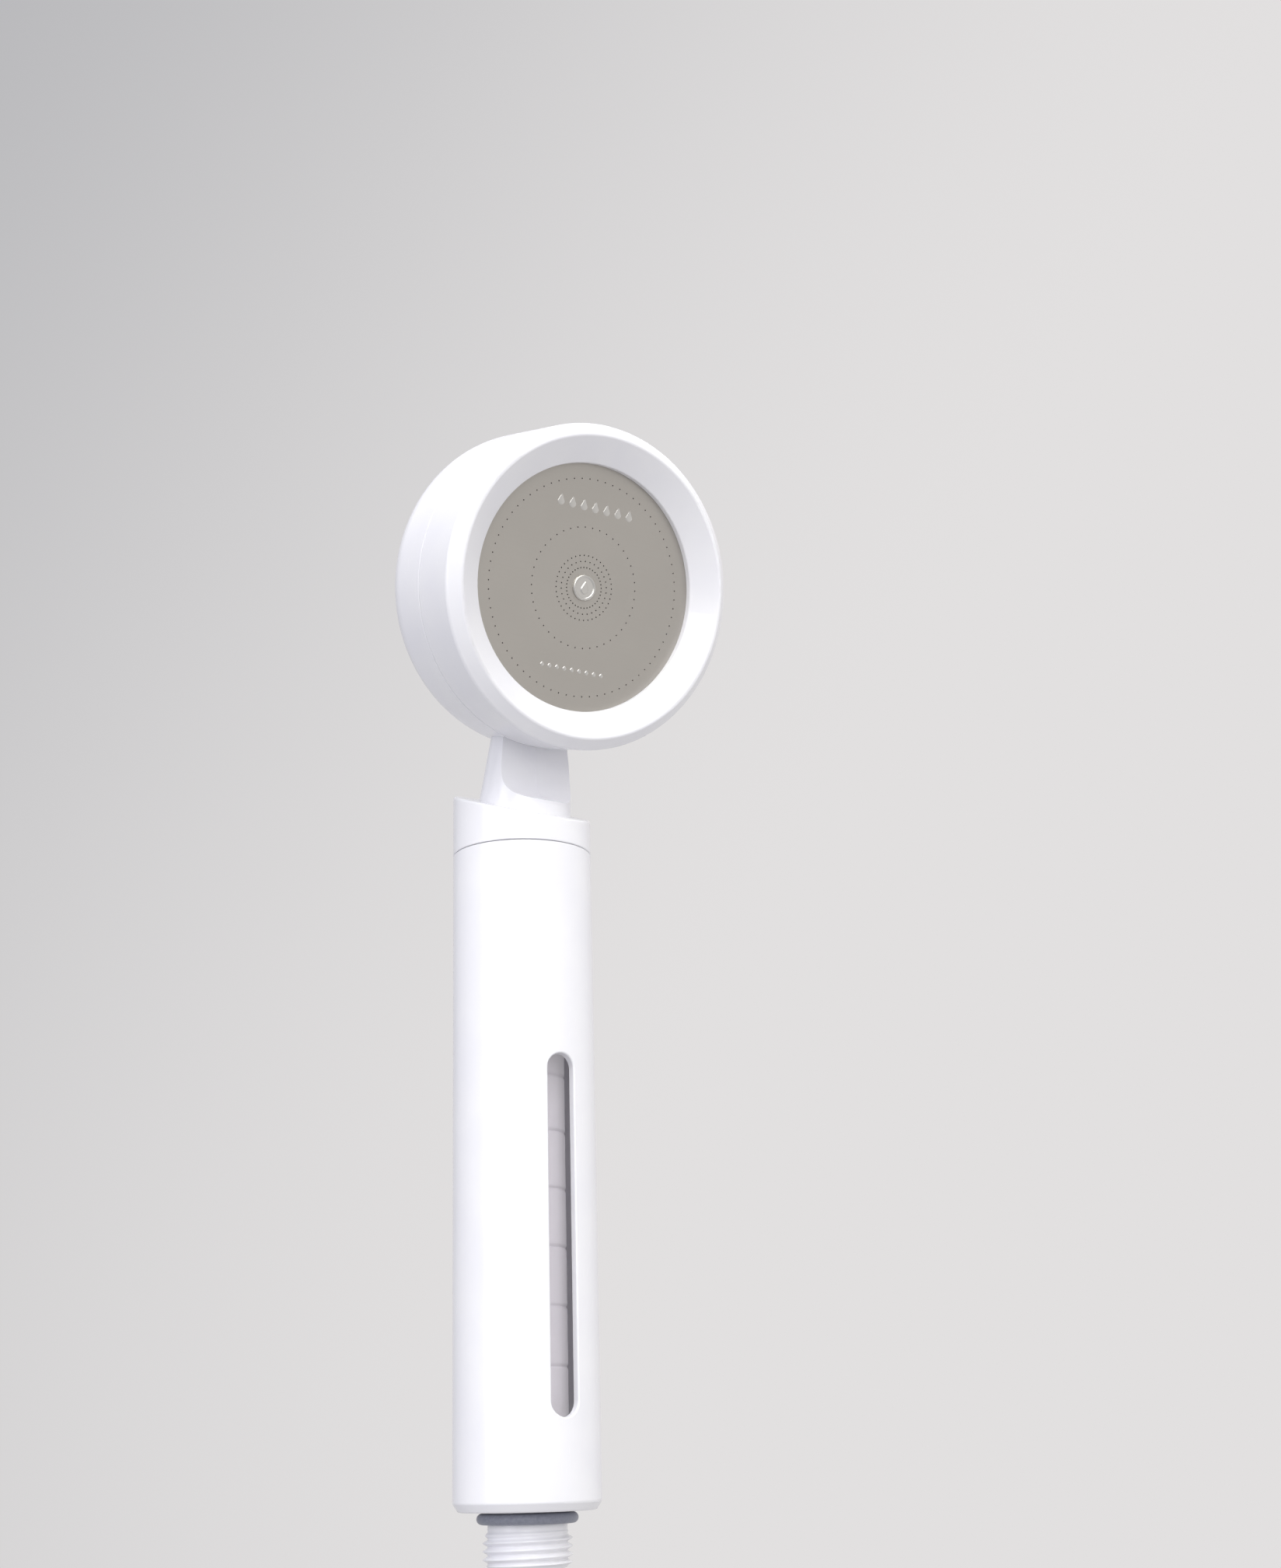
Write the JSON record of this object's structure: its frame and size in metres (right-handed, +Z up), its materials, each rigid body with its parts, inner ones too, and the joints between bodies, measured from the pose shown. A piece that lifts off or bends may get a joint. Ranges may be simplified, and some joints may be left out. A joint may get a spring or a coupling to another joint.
{
  "type": "handheld shower head",
  "caption": "Handheld shower head with a round tilted spray face and a straight handle that holds a filter cartridge behind a long window slot; hose thread at its foot.",
  "frame": {"origin": "centre of the hose thread's open end, on the handle's axis", "axes": "+Z up the handle towards the head, the spray face looks along -Y and a little down, X across"},
  "size_m": [0.082, 0.0654, 0.2796],
  "materials": {
    "white_abs": "moulded gloss white ABS",
    "clear_pc": "clear polycarbonate tube",
    "grey_rubber": "dark grey EPDM rubber",
    "silicone": "translucent white silicone",
    "filter_fibre": "spun polypropylene fibre",
    "white_pp": "moulded polypropylene",
    "satin_steel": "satin stainless steel",
    "green_pom": "moulded acetal"
  },
  "bodies": {
    "handle": {"handle_sleeve": "white_abs", "clear_tube": "clear_pc", "tube_gasket": "silicone"},
    "connector_seals": {"hose_o_ring": "grey_rubber", "plug_o_ring": "grey_rubber"},
    "connector": {"hose_connector": "white_abs", "inlet_screen": "satin_steel", "flow_regulator": "green_pom"},
    "cartridge": {"filter_media": "filter_fibre", "filter_core": "white_pp", "filter_top_cap": "white_pp", "filter_bottom_cap": "white_pp", "filter_top_seal": "grey_rubber", "spigot_o_ring": "grey_rubber"},
    "head": {"head_spigot": "white_abs", "collar": "white_abs", "neck": "white_abs", "rear_housing": "white_abs", "distributor": "white_pp", "distributor_screws": "satin_steel"},
    "plate": {"spray_plate": "satin_steel", "plate_gasket": "silicone", "centre_badge": "satin_steel", "ring_o_ring": "grey_rubber"},
    "ring": {"front_ring": "white_abs"}
  },
  "joints": [
    {"name": "connector_travel", "type": "slide", "parent": "handle", "child": "connector_seals", "axis": [0, 0, -1], "range_m": [0, 0.008]},
    {"name": "connector_screw", "type": "hinge", "parent": "connector_seals", "child": "connector", "pos_m": [0, 0, 0.0125], "axis": [0, 0, -1], "range_deg": [0, 1441]},
    {"name": "cartridge_travel", "type": "slide", "parent": "handle", "child": "cartridge", "axis": [0, 0, 1], "range_m": [0, 0.012]},
    {"name": "head_screw", "type": "hinge", "parent": "cartridge", "child": "head", "pos_m": [0, 0, 0.1705], "axis": [0, 0, 1], "range_deg": [0, 1441]},
    {"name": "plate_travel", "type": "slide", "parent": "head", "child": "plate", "axis": [0, -0.9553, -0.2957], "range_m": [0, 0.006]},
    {"name": "ring_screw", "type": "hinge", "parent": "plate", "child": "ring", "pos_m": [0, -0.031, 0.2336], "axis": [0, -0.9553, -0.2957], "range_deg": [0, 1081]}
  ],
  "couplings": [
    {"joint": "connector_screw", "follows": "connector_travel", "rad_per_m": 3141.6},
    {"joint": "head_screw", "follows": "cartridge_travel", "rad_per_m": 2094.4},
    {"joint": "ring_screw", "follows": "plate_travel", "rad_per_m": 3141.6}
  ]
}
